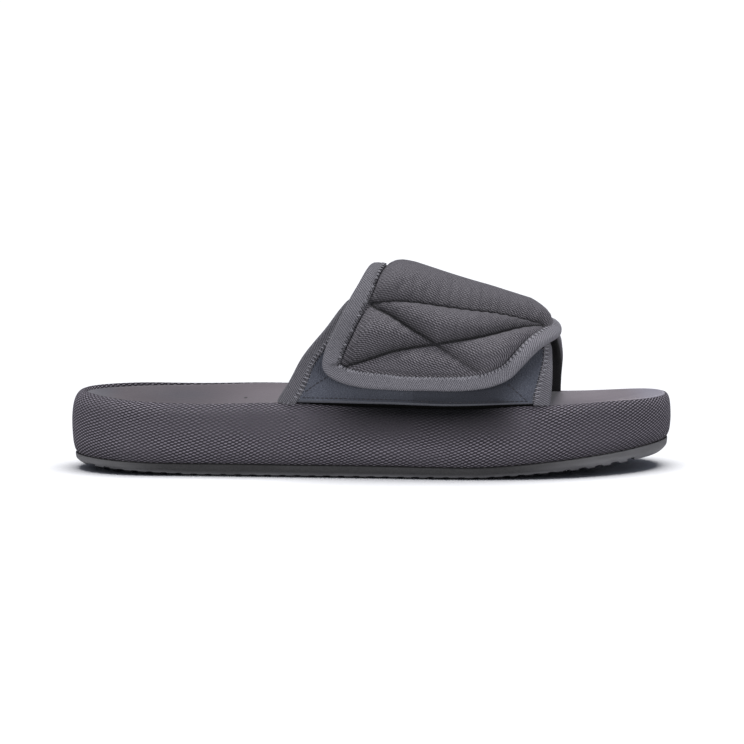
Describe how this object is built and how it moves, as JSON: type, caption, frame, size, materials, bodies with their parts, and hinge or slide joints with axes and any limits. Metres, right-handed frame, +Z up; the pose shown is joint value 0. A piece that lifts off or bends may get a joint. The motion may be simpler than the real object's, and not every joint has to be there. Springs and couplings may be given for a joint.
{
  "type": "slide slipper",
  "caption": "Right-foot slide slipper with a thick fabric-wrapped sole, grooved rubber outsole and one wide quilted strap that closes by hook-and-loop on the outer side.",
  "frame": {"origin": "centre of the bounding box, on the plane the sole stands on", "axes": "+X towards the toe, +Y towards the inner (medial) side of the foot, +Z up"},
  "size_m": [0.291, 0.1097, 0.1018],
  "materials": {
    "outsole_rubber": "matt moulded",
    "sole_wrap": "coarse woven nylon",
    "footbed": "soft brushed",
    "strap_nylon": "coarse woven nylon, quilted",
    "binding_tape": "ribbed tape",
    "tab_fabric": "woven nylon",
    "loop_fabric": "looped pile"
  },
  "bodies": {
    "root": {"outsole": "outsole_rubber", "midsole": "sole_wrap", "insole": "footbed", "strap": "strap_nylon", "strap_binding": "binding_tape", "closure_tab": "tab_fabric", "tab_binding": "binding_tape", "loop_patch": "loop_fabric"}
  },
  "joints": []
}
